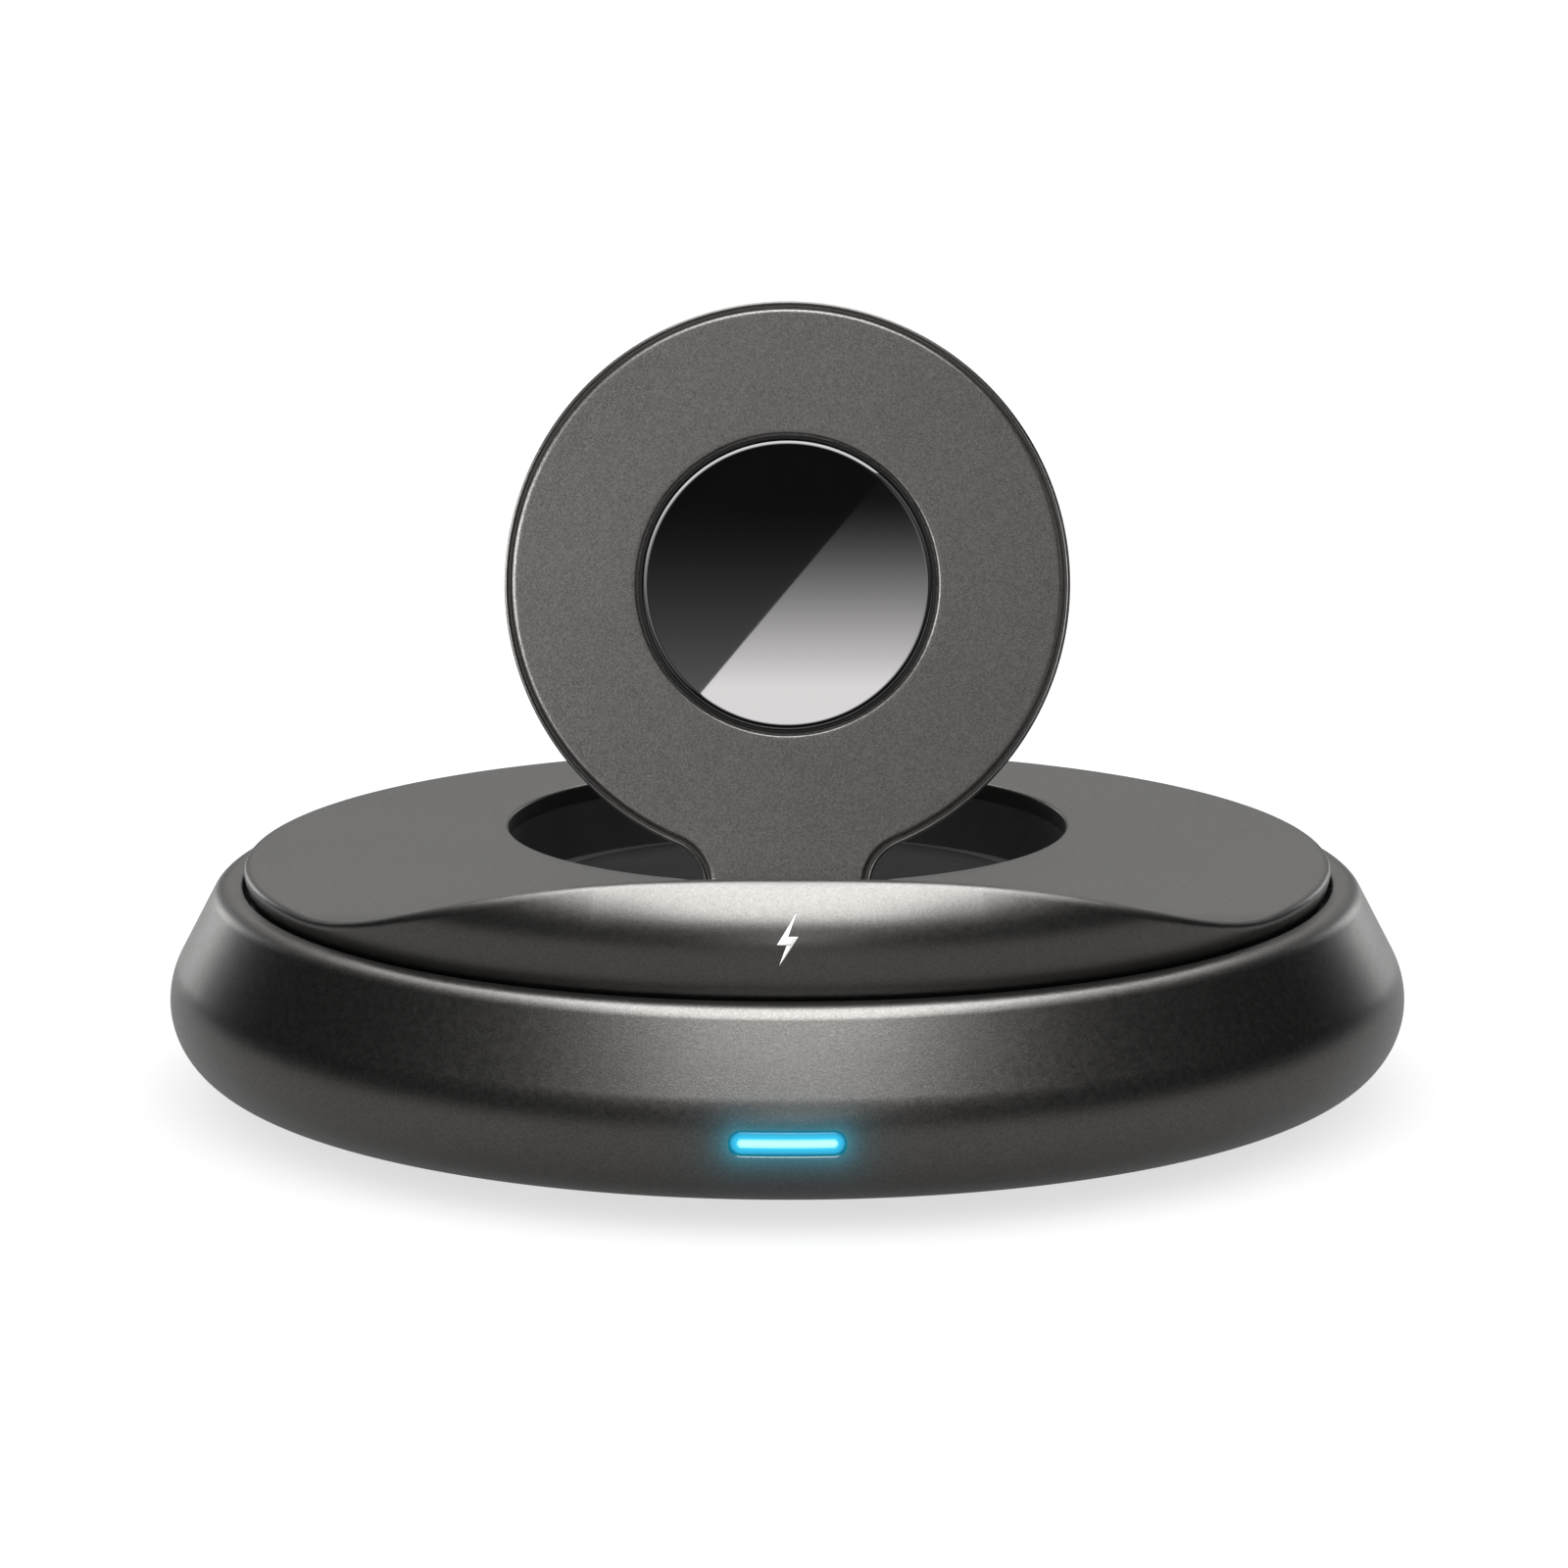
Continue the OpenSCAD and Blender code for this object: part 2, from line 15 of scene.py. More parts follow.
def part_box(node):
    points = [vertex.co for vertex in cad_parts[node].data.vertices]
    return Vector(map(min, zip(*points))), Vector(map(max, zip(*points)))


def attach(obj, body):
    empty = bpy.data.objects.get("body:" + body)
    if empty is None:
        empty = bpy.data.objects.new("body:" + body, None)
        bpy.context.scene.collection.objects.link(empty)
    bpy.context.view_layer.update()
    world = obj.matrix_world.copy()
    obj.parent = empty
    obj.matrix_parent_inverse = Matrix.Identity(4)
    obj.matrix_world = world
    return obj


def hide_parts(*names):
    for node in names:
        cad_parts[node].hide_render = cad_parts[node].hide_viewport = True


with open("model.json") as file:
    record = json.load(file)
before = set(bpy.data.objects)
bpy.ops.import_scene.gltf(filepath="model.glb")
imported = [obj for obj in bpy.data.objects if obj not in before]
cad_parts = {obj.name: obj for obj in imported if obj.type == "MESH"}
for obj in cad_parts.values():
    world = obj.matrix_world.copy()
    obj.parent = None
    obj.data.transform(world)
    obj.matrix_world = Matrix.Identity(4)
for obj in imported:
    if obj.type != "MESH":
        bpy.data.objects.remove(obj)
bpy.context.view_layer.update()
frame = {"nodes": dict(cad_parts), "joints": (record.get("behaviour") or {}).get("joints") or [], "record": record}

MM = 0.001
TAU = 2 * math.pi


# ---------- sizes, from the frame ----------


def box_mm(node):
    low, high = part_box(node)
    return np.array(low) / MM, np.array(high) / MM


fold = next(j for j in frame["joints"] if j["name"] == "arm_fold")
hinge_y = fold["pos_m"][1] / MM
hinge_z = fold["pos_m"][2] / MM
rest_angle = -math.radians(fold["range_deg"][0])

base_r = box_mm("skirt_shell")[1][0]
skirt_low_z = box_mm("skirt_shell")[0][2]
skirt_top = box_mm("skirt_shell")[1][2]
cap_r = box_mm("upper_cap")[1][0]
ledge_z = box_mm("upper_cap")[0][2]
lip_top = box_mm("upper_cap")[1][2]
cap_rise = 2.2
base_h = skirt_top + cap_rise
disc_r = box_mm("arm_back_shell")[1][0]
flush_gap = 0.05
disc_t = 2 * (base_h - flush_gap - hinge_z)
half_t = disc_t / 2
neck_w = 17.7
neck_fillet = 4.8
neck_len = 6.5
arm_len = disc_r + neck_len
well_gap = 0.4
well_ease = 0.35
slot_front = half_t + 0.55

# Skirt
belly_round = 9
shoulder_round = 2.5
wall = 2
seam_gap = 0.45
bore_r = cap_r + seam_gap
mouth_r = bore_r - 0.7  # closer to the cap than the CAD's, since the photo's seam is thin
ledge_in = cap_r - 7.2
cover_top = box_mm("bottom_cover")[0][2] + 1.6
cover_r = box_mm("bottom_cover")[1][0]

# Cap
cap_belly_z = base_h + 2.4
lip_round = lip_top - cap_belly_z
under_round = 14.7
ramp_y = hinge_y - 9.3
ramp_run = cap_r - lip_round + ramp_y
ramp_r = (ramp_run**2 + (lip_top - base_h) ** 2) / (2 * (lip_top - base_h))

# Disc
rim_w = 0.6
face_inset = 0.8
plate_z = half_t - 1.8
rim_z = half_t - 0.3
cavity_r = disc_r - 1.6
shell_floor = -half_t + 1.2
lens_r = box_mm("centre_lens")[1][0]
recess_r = lens_r + 0.65
recess_z = plate_z + 0.5
lens_top = half_t - 0.25

# Indicator
pipe_low, pipe_high = box_mm("light_pipe")
light_w = pipe_high[0] - pipe_low[0]
light_h = pipe_high[2] - pipe_low[2]
light_z = (pipe_high[2] + pipe_low[2]) / 2
belly_z = light_z + 0.5
low_round = belly_z - skirt_low_z
socket_low, socket_high = box_mm("usb_c_shell")
socket_w = socket_high[0] - socket_low[0]
socket_h = socket_high[2] - socket_low[2]
socket_z = (socket_high[2] + socket_low[2]) / 2


# ---------- mesh helpers ----------


def finish_mesh(name, verts, faces, body, replaces=(), sharp=40):
    mesh = bpy.data.meshes.new(name)
    mesh.from_pydata([tuple(v) for v in np.asarray(verts) * MM], [], faces)
    bm = bmesh.new()
    bm.from_mesh(mesh)
    bmesh.ops.remove_doubles(bm, verts=bm.verts, dist=1e-7)
    bmesh.ops.recalc_face_normals(bm, faces=bm.faces)
    bm.to_mesh(mesh)
    bm.free()
    piece = bpy.data.objects.new(name, mesh)
    bpy.context.scene.collection.objects.link(piece)
    smooth(piece, sharp)
    if body:
        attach(piece, body)
    for node in replaces:
        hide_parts(node)
    return piece


def smooth(piece, sharp=40):
    mesh = piece.data
    mesh.shade_smooth()
    mesh.set_sharp_from_angle(angle=math.radians(sharp))


def skin(loops, wrap=False, cap_first=False, cap_last=False):
    """Vertices and faces of a surface through closed loops that all have the same number of points."""
    count = len(loops[0])
    verts = np.concatenate(loops)
    faces = []
    pairs = len(loops) if wrap else len(loops) - 1
    for k in range(pairs):
        a = k * count
        b = (k + 1) % len(loops) * count
        for i in range(count):
            j = (i + 1) % count
            faces.append((a + i, a + j, b + j, b + i))
    if cap_first:
        faces.append(tuple(range(count)))
    if cap_last:
        last = (len(loops) - 1) * count
        faces.append(tuple(last + i for i in range(count)))
    return verts, faces


def arc(centre, radius, start, end, steps):
    """Points on an arc, angles in degrees, both ends included."""
    angles = np.radians(np.linspace(start, end, steps + 1))
    return [(centre[0] + radius * math.cos(a), centre[1] + radius * math.sin(a)) for a in angles]


def lathe(profile, segments=384):
    """Loops of a half section of (radius, height) turned round Z."""
    turn = np.linspace(0, TAU, segments, endpoint=False)
    return [np.stack([r * np.cos(turn), r * np.sin(turn), np.full(segments, z)], 1) for r, z in profile]


def cut(piece, cutter):
    """Takes cutter out of piece for good."""
    modifier = piece.modifiers.new("cut", "BOOLEAN")
    modifier.operation = "DIFFERENCE"
    modifier.solver = "EXACT"
    modifier.object = cutter
    graph = bpy.context.evaluated_depsgraph_get()
    mesh = bpy.data.meshes.new_from_object(piece.evaluated_get(graph))
    piece.modifiers.clear()
    piece.data = mesh
    bpy.data.objects.remove(cutter)


def pill_points(width, height, per_end=24):
    """Outline of a pill, as (x, z) points and outward normals."""
    r = height / 2
    half = width / 2 - r
    points, normals = [], []
    for side, start in ((1, -90), (-1, 90)):
        for a in np.radians(np.linspace(start, start + 180, per_end + 1)):
            n = (math.cos(a), math.sin(a))
            normals.append(n)
            points.append((side * half + r * n[0], r * n[1]))
        for t in np.linspace(0, 1, 22)[1:-1]:
            points.append((side * half * (1 - 2 * t), side * r))
            normals.append((0, side))
    return np.array(points), np.array(normals)


# ---------- outlines that the shells share ----------


def arm_outline(start=0.0, grow=0.0, ease=0.0, corner=1.2):
    """Disc and neck seen square on: points and outward normals, hinge axis at y = 0."""
    half_w = neck_w / 2 + grow
    r = disc_r + grow + ease
    cy = arm_len - ease
    rf = neck_fillet - grow
    fx = half_w + rf
    fy = cy - math.sqrt((r + rf) ** 2 - fx**2)
    turn = math.atan2(cy - fy, fx)
    points, normals = [], []

    def add(p, n):
        points.append(p)
        normals.append(n)

    for t in np.linspace(0, 1, 7)[:-1]:
        add((t * (half_w - corner), start), (0, -1))
    for a in np.radians(np.linspace(-90, 0, 9)):
        n = np.array((math.cos(a), math.sin(a)))
        add((half_w - corner, start + corner) + corner * n, n)
    for t in np.linspace(0, 1, 10)[1:-1]:
        add((half_w, start + corner + t * (fy - start - corner)), (1, 0))
    for a in np.linspace(0, turn, 29):
        n = np.array((math.cos(a), -math.sin(a)))
        add((fx, fy) - rf * n, n)
    for a in np.linspace(-turn, math.pi / 2, 181)[1:]:
        n = np.array((math.cos(a), math.sin(a)))
        add((0, cy) + r * n, n)
    points = np.array(points)
    normals = np.array(normals)
    flip = np.array([-1, 1])
    return (
        np.concatenate([points, (points * flip)[-2:0:-1]]),
        np.concatenate([normals, (normals * flip)[-2:0:-1]]),
    )


def flat_loop(points, z):
    return np.column_stack([points, np.full(len(points), z)])


def circle_like(points, centre, radius):
    """A circle's points in the directions that points have, seen from centre."""
    away = points - centre
    return centre + radius * away / np.linalg.norm(away, axis=1)[:, None]


def place_arm(verts):
    """From the arm's own frame, lying flat with the hinge axis at the origin, to its place at rest."""
    c, s = math.cos(rest_angle), math.sin(rest_angle)
    x, y, z = np.asarray(verts).T
    return np.column_stack([x, c * y - s * z + hinge_y, s * y + c * z + hinge_z])


# ---------- skirt ----------

belly_c = np.array([base_r - belly_round, belly_z])
low_c = np.array([base_r - low_round, belly_z])
shoulder_c = np.array([bore_r + 0.4, skirt_top - shoulder_round])
between = shoulder_c - belly_c
slope = math.degrees(
    math.atan2(between[1], between[0])
    - math.acos((belly_round - shoulder_round) / np.linalg.norm(between))
)


def skirt_radius(z):
    """Outside radius of the skirt near its widest line."""
    turn = belly_round if z > belly_z else low_round
    return base_r - turn + math.sqrt(max(turn**2 - (z - belly_z) ** 2, 0))


def on_skirt(points, depth, side=-1):
    """Points (x, z) laid on the skirt's outside at the front or back, depth deep."""
    return np.array([(x, side * (math.sqrt(skirt_radius(z) ** 2 - x * x) - depth), z) for x, z in points])


def hole_cutter(width, height, z, side, deep, edge=0.28):
    """A pill-shaped plug with a rounded mouth that follows the skirt's outside."""
    points, normals = pill_points(width, height)
    points = points + (0, z)
    loops = [on_skirt(points + normals * edge, -1.5, side)]
    for a in np.radians(np.linspace(0, 90, 7)):
        loops.append(on_skirt(points + normals * edge * (1 - math.sin(a)), edge * (1 - math.cos(a)), side))
    loops.append(on_skirt(points, deep, side))
    verts, faces = skin(loops, cap_first=True, cap_last=True)
    return finish_mesh("hole_cutter", verts, faces, None)


def make_skirt():
    inner = belly_round - wall
    inner_low = low_round - wall
    far = math.radians(slope)
    profile = [(cover_r, cover_top), (cover_r, skirt_low_z + 0.3)]
    profile += arc((cover_r + 0.3, skirt_low_z + 0.3), 0.3, 180, 270, 3)[1:]
    profile += arc(low_c, low_round, -90, 0, 44)
    profile += arc(belly_c, belly_round, 0, slope, 16)[1:]
    profile += arc(shoulder_c, shoulder_round, slope, 90, 20)
    profile += arc((mouth_r + 0.25, skirt_top - 0.25), 0.25, 90, 180, 5)
    profile += [(mouth_r, ledge_z), (ledge_in, ledge_z), (ledge_in, ledge_z - wall)]
    profile += [(shoulder_c[0] + 0.5 * math.cos(far), ledge_z - wall)]
    profile += arc(belly_c, inner, slope, 0, 6)
    profile += arc(low_c, inner_low, 0, -55, 8)[1:]
    profile += [(cover_r - 4.4, cover_top + 2.1), (cover_r - 4.4, cover_top)]
    verts, faces = skin(lathe(profile, 512), wrap=True)
    piece = finish_mesh("skirt_body", verts, faces, "base", ["skirt_shell"], 30)
    cut(piece, hole_cutter(light_w, light_h, light_z, -1, 6))
    cut(piece, hole_cutter(socket_w + 0.4, socket_h + 0.4, socket_z, 1, 6, 0.35))
    smooth(piece, 30)
    return piece


def make_light():
    """The light pipe: a pill that fills its hole, its face a little behind the skirt's."""
    fit = 0.12
    edge = 0.3
    face = 0.2
    root = 3.2
    points, normals = pill_points(light_w - fit, light_h - fit)
    centre = np.array([0, light_z])
    points = points + centre
    loops = [on_skirt(points, root), on_skirt(points, face + edge)]
    for a in np.radians(np.linspace(0, 90, 6))[1:]:
        drawn_in = points - normals * edge * (1 - math.cos(a))
        loops.append(on_skirt(drawn_in, face + edge * (1 - math.sin(a))))
    for share in (0.7, 0.45, 0.2):
        loops.append(on_skirt(centre + (points - centre) * share, face))
    verts, faces = skin(loops, cap_first=True, cap_last=True)
    return finish_mesh("indicator_pipe", verts, faces, "base", ["light_pipe"])


# ---------- cap ----------

CAP_ROWS = 45


def pebble_distance(r, z):
    """Signed distance to the cap's round outside, before its top is cut."""
    rounding = np.where(z > cap_belly_z, lip_round, under_round)
    beyond = np.maximum(r - (cap_r - rounding), 0)
    return np.hypot(beyond, z - cap_belly_z) - rounding


def ramp_distance(y, z):
    """Signed distance to the cut: the flat top, and the round hollow that rises to the lip."""
    return np.where(y > ramp_y, z - base_h, ramp_r - np.hypot(y - ramp_y, z - base_h - ramp_r))


def cap_distance(p):
    """Signed distance to the cap, the edge between outside and top rounded."""
    r = np.hypot(p[:, 0], p[:, 1])
    y = p[:, 1]
    a = pebble_distance(r, p[:, 2])
    b = ramp_distance(y, p[:, 2])
    front = np.clip((ramp_y - y) / 24, 0, 1)
    k = 1.0 + 0.9 * front * front
    both = np.hypot(np.maximum(a + k, 0), np.maximum(b + k, 0)) - k
    return np.where((a > -k) & (b > -k), both, np.maximum(a, b))


def settle(p, rounds=6):
    """Moves points along the distance's slope until they lie on the cap."""
    steps = np.eye(3) * 1e-3
    for _ in range(rounds):
        rises = [cap_distance(p + step) - cap_distance(p - step) for step in steps]
        slopes = np.stack(rises, 1) / 2e-3
        shift = cap_distance(p) / np.maximum((slopes**2).sum(1), 0.05)
        p = p - slopes * shift[:, None]
    return p


def pebble_path(samples=400):
    """The round outside's section from the seam up and inwards, as (radius, height)."""
    low = math.degrees(math.asin((ledge_z - cap_belly_z) / under_round))
    path = arc((cap_r - under_round, cap_belly_z), under_round, low, 0, samples // 4)
    path += arc((cap_r - lip_round, cap_belly_z), lip_round, 0, 90, samples // 2)[1:]
    path += [(r, lip_top) for r in np.linspace(cap_r - lip_round, 40, samples // 4)[1:]]
    return np.array(path)


def ramp_height(y):
    return base_h if y > ramp_y else base_h + ramp_r - math.sqrt(max(ramp_r**2 - (y - ramp_y) ** 2, 0))


def cap_corners(path, heading):
    """For each heading, the place on path where the round outside meets the cut top."""
    found = []
    for h in heading:
        heights = np.array([ramp_height(r * h[1]) for r in path[:, 0]])
        found.append(int(np.argmax(path[:, 1] >= heights)))
    return found


def cap_side(path, heading, corner_at):
    """Loops from the corner down the round outside to the seam."""
    side = []
    for t in np.linspace(0, 1, CAP_ROWS + 1)[1:] ** 1.5:
        row = []
        for h, k in zip(heading, corner_at):
            at = k * (1 - t)
            i = min(int(at), len(path) - 2)
            r, z = path[i] + (path[i + 1] - path[i]) * (at - i)
            row.append((h[0] * r, h[1] * r, z))
        side.append(np.array(row))
    return side


def make_cap():
    """From the well's wall over its rounded edge, along the top, down the outside and back under."""
    edge = 0.35
    points, normals = arm_outline(-slot_front, well_gap, well_ease)
    points = points + (0, hinge_y)
    path = pebble_path()
    heading = points / np.linalg.norm(points, axis=1)[:, None]
    corner_at = cap_corners(path, heading)

    loops = [flat_loop(points, base_h - wall), flat_loop(points, base_h - edge)]
    for a in np.radians(np.linspace(0, 90, 6))[1:]:
        opened = points + normals * edge * (1 - math.cos(a))
        loops.append(flat_loop(opened, base_h - edge * (1 - math.sin(a))))
    inner = points + normals * edge
    rim = heading * path[corner_at, :1]
    for t in 1 - (1 - np.linspace(0, 1, CAP_ROWS + 1)[1:]) ** 1.7:
        flat = inner + (rim - inner) * t
        loops.append(settle(np.column_stack([flat, [ramp_height(y) for y in flat[:, 1]]])))
    side = cap_side(path, heading, corner_at)
    bottom = side[-1]
    loops += [settle(p) for p in side[:-1]] + [bottom]
    flat_heading = np.column_stack([heading, np.zeros(len(heading))])
    loops.append(bottom - flat_heading * 1.6)
    loops.append(flat_loop(heading * (cap_r - 3), base_h - wall))
    verts, faces = skin(loops, wrap=True)
    return finish_mesh("cap_body", verts, faces, "base", ["upper_cap"], 42)


# ---------- arm ----------


def make_back_shell():
    points, normals = arm_outline()
    centre = np.array([0, arm_len])
    back_round = 1.5
    rim_round = 0.22
    cavity = circle_like(points, centre, cavity_r)
    loops = []
    for a in np.radians(np.linspace(0, 90, 11)):
        inset = back_round * (1 - math.sin(a))
        loops.append(flat_loop(points - normals * inset, -half_t + back_round * (1 - math.cos(a))))
    for a in np.radians(np.linspace(0, 180, 9)):
        inset = rim_round * (1 - math.cos(a))
        loops.append(flat_loop(points - normals * inset, rim_z - rim_round + rim_round * math.sin(a)))
    inner = points - normals * rim_w
    loops.append(flat_loop(points - normals * (rim_w - 0.02), rim_z - rim_round))
    loops.append(flat_loop(inner, plate_z))
    loops.append(flat_loop(cavity, plate_z))
    loops.append(flat_loop(cavity, shell_floor))
    verts, faces = skin(loops, cap_first=True, cap_last=True)
    piece = finish_mesh(
        "arm_shell", place_arm(verts), faces, "arm", ["arm_back_shell"], 35
    )
    knuckle_r = half_t - 0.05
    half = neck_w / 2
    profile = [(0, -half), (knuckle_r - 0.4, -half)]
    profile += arc((knuckle_r - 0.4, -half + 0.4), 0.4, -90, 0, 5)[1:]
    profile += arc((knuckle_r - 0.4, half - 0.4), 0.4, 0, 90, 5)
    profile += [(0, half)]
    verts, faces = skin(lathe(profile[1:-1], 96), cap_first=True, cap_last=True)
    turned = np.column_stack([verts[:, 2], verts[:, 0], verts[:, 1]])
    knuckle = finish_mesh("arm_knuckle", place_arm(turned), faces, "arm", (), 35)
    return piece, knuckle


def make_face_plate():
    points, normals = arm_outline(half_t + 0.2, -face_inset, corner=0.8)
    centre = np.array([0, arm_len])
    edge = 0.42
    lip = 0.22
    loops = [flat_loop(circle_like(points, centre, recess_r - 1), plate_z), flat_loop(points, plate_z)]
    for a in np.radians(np.linspace(0, 90, 8)):
        drawn_in = points - normals * edge * (1 - math.cos(a))
        loops.append(flat_loop(drawn_in, half_t - edge * (1 - math.sin(a))))
    inner = points - normals * edge
    opening = circle_like(points, centre, recess_r + lip)
    for t in (0.02, 0.5, 0.97):
        loops.append(flat_loop(inner + (opening - inner) * t, half_t))
    for a in np.radians(np.linspace(0, 90, 6)):
        ring = circle_like(points, centre, recess_r + lip * (1 - math.sin(a)))
        loops.append(flat_loop(ring, half_t - lip * (1 - math.cos(a))))
    loops.append(flat_loop(circle_like(points, centre, recess_r), recess_z))
    loops.append(flat_loop(circle_like(points, centre, recess_r - 3), recess_z))
    verts, faces = skin(loops, cap_first=True, cap_last=True)
    return finish_mesh(
        "face_plate", place_arm(verts), faces, "arm", ["arm_face_plate"], 35
    )


def arm_lathe(name, profile, node, caps):
    verts, faces = skin(lathe(profile, 256), wrap=not caps, cap_first=caps, cap_last=caps)
    verts = verts + (0, arm_len, 0)
    return finish_mesh(name, place_arm(verts), faces, "arm", [node], 35)


def make_lens():
    dish = 0.4
    steps = 60
    edge = 0.18
    profile = [(lens_r, recess_z)]
    profile += arc((lens_r - edge, lens_top - edge), edge, 0, 90, 6)
    for i in range(steps - 1):
        share = (1 - (i + 1) / steps) ** 2
        r = (lens_r - edge) * share
        profile.append((r, lens_top - dish * (1 - (r / (lens_r - edge)) ** 2)))
    return arm_lathe("lens", profile, "centre_lens", True)


def make_gasket():
    z = lens_top - 0.2
    profile = [(lens_r, recess_z), (lens_r + 0.4, recess_z)]
    profile += arc((lens_r + 0.3, z - 0.1), 0.1, 0, 90, 3)
    profile += arc((lens_r + 0.1, z - 0.1), 0.1, 90, 180, 3)
    return arm_lathe("gasket", profile, "lens_gasket", False)


# ---------- mark on the lip ----------


def make_mark():
    """A plain bolt sign printed on the lip: a thin skin that follows the cap."""
    height = 5.2
    ink = 0.03
    outline = [(0.34, 1.0), (-0.42, -0.16), (-0.03, -0.16), (-0.34, -1.0), (0.42, 0.16), (0.03, 0.16)]
    steps = 10
    centre_z = 29.4
    mesh = bmesh.new()
    corners = [mesh.verts.new((x * height / 2, 0, z * height / 2)) for x, z in outline]
    mesh.faces.new(corners)
    for k in range(1, 2 * steps):
        z = height / 2 * (k / steps - 1)
        geometry = mesh.verts[:] + mesh.edges[:] + mesh.faces[:]
        bmesh.ops.bisect_plane(mesh, geom=geometry, plane_co=(0, 0, z), plane_no=(0, 0, 1))
    verts = np.array([v.co for v in mesh.verts])
    mesh.verts.index_update()
    faces = [tuple(v.index for v in f.verts) for f in mesh.faces]
    mesh.free()
    on_cap = np.column_stack([verts[:, 0], np.full(len(verts), -cap_r), verts[:, 2] + centre_z])
    for _ in range(12):
        d = pebble_distance(np.hypot(on_cap[:, 0], on_cap[:, 1]), on_cap[:, 2])
        on_cap[:, 1] += d
    on_cap[:, 1] -= ink
    piece = finish_mesh("lip_mark", on_cap, faces, "base", (), 60)
    solid = piece.modifiers.new("thickness", "SOLIDIFY")
    solid.thickness = ink * MM
    solid.offset = 0
    return piece


# ---------- materials ----------


class Shader:
    """A node material with a Principled shader and short calls for the nodes that feed it."""

    def __init__(self, name, base, rough, metallic=0.0):
        self.material = bpy.data.materials.new(name)
        self.material.use_nodes = True
        self.tree = self.material.node_tree
        self.tree.nodes.clear()
        self.out = self.tree.nodes.new("ShaderNodeOutputMaterial")
        self.shader = self.tree.nodes.new("ShaderNodeBsdfPrincipled")
        self.link(self.shader.outputs[0], self.out.inputs["Surface"])
        self.place = self.tree.nodes.new("ShaderNodeTexCoord").outputs["Object"]
        self.set(base_color=base, roughness=rough, metallic=metallic)
        self.height = None

    def link(self, source, target):
        self.tree.links.new(source, target)

    def set(self, **values):
        for key, value in values.items():
            socket = self.shader.inputs[key.replace("_", " ").title().replace("Ior", "IOR")]
            socket.default_value = (*value, 1) if isinstance(value, tuple) and len(value) == 3 else value

    def noise(self, scale, detail=3, rough=0.5):
        node = self.tree.nodes.new("ShaderNodeTexNoise")
        self.link(self.place, node.inputs["Vector"])
        node.inputs["Scale"].default_value = scale
        node.inputs["Detail"].default_value = detail
        node.inputs["Roughness"].default_value = rough
        return node.outputs["Fac"]

    def cells(self, scale):
        node = self.tree.nodes.new("ShaderNodeTexVoronoi")
        self.link(self.place, node.inputs["Vector"])
        node.inputs["Scale"].default_value = scale
        return node.outputs["Color"]

    def math(self, operation, a, b=0.0, clamp=False):
        node = self.tree.nodes.new("ShaderNodeMath")
        node.operation = operation
        node.use_clamp = clamp
        for value, socket in ((a, node.inputs[0]), (b, node.inputs[1])):
            if isinstance(value, (int, float)):
                socket.default_value = value
            else:
                self.link(value, socket)
        return node.outputs[0]

    def ramp(self, factor, *stops):
        node = self.tree.nodes.new("ShaderNodeValToRGB")
        self.link(factor, node.inputs[0])
        while len(node.color_ramp.elements) < len(stops):
            node.color_ramp.elements.new(0.5)
        for element, (at, colour) in zip(node.color_ramp.elements, stops):
            element.position = at
            element.color = (*colour, 1) if len(colour) == 3 else colour
        return node.outputs["Color"]

    def colour(self, factor, *stops):
        self.link(self.ramp(factor, *stops), self.shader.inputs["Base Color"])

    def vary_rough(self, factor, low, high):
        node = self.tree.nodes.new("ShaderNodeMapRange")
        self.link(factor, node.inputs["Value"])
        node.inputs["To Min"].default_value = low
        node.inputs["To Max"].default_value = high
        self.link(node.outputs["Result"], self.shader.inputs["Roughness"])

    def bump(self, height, strength, distance):
        node = self.tree.nodes.new("ShaderNodeBump")
        node.inputs["Strength"].default_value = strength
        node.inputs["Distance"].default_value = distance
        self.link(height, node.inputs["Height"])
        if self.height is not None:
            self.link(self.height, node.inputs["Normal"])
        self.height = node.outputs["Normal"]
        self.link(self.height, self.shader.inputs["Normal"])


def grey(value, warm=0.0):
    return (value * (1 + warm), value, value * (1 - warm))


def gunmetal(name, value, rough, grain, sparkle):
    """Metallic paint: fine grain in the bump, and flakes that catch the light."""
    s = Shader(name, grey(value, 0.03), rough, 1.0)
    flakes = s.cells(9000)
    split = s.tree.nodes.new("ShaderNodeSeparateColor")
    s.link(flakes, split.inputs[0])
    cloud = s.noise(60, 2)
    mixed = s.math("ADD", s.math("MULTIPLY", split.outputs[0], sparkle), s.math("MULTIPLY", cloud, 0.15))
    s.colour(mixed, (0.0, grey(value * 0.72, 0.03)), (1.0, grey(value * 1.55, 0.04)))
    s.vary_rough(s.noise(1500, 2), rough - 0.05, rough + 0.06)
    s.bump(s.noise(5200, 3, 0.6), grain, 0.00004)
    s.bump(s.noise(90, 2), 0.04, 0.0001)
    return s


def plastic(name, value, rough, grain=0.25, scale=3500, tint=None):
    base = tint or grey(value, 0.01)
    s = Shader(name, base, rough)
    s.colour(s.noise(220, 4), (0.3, tuple(0.86 * c for c in base)), (0.75, tuple(1.16 * c for c in base)))
    s.vary_rough(s.noise(700, 3), rough - 0.06, rough + 0.08)
    s.bump(s.noise(scale, 2), grain, 0.00005)
    return s


def metal(name, base, rough, turned=False):
    s = Shader(name, base, rough, 1.0)
    streaks = s.noise(2600 if turned else 1400, 4)
    dark = tuple(0.84 * c for c in base)
    pale = tuple(min(1.1 * c, 1) for c in base)
    s.colour(s.noise(180, 3), (0.25, dark), (0.8, pale))
    s.vary_rough(streaks, rough - 0.06, rough + 0.1)
    s.bump(streaks, 0.12, 0.00003)
    return s


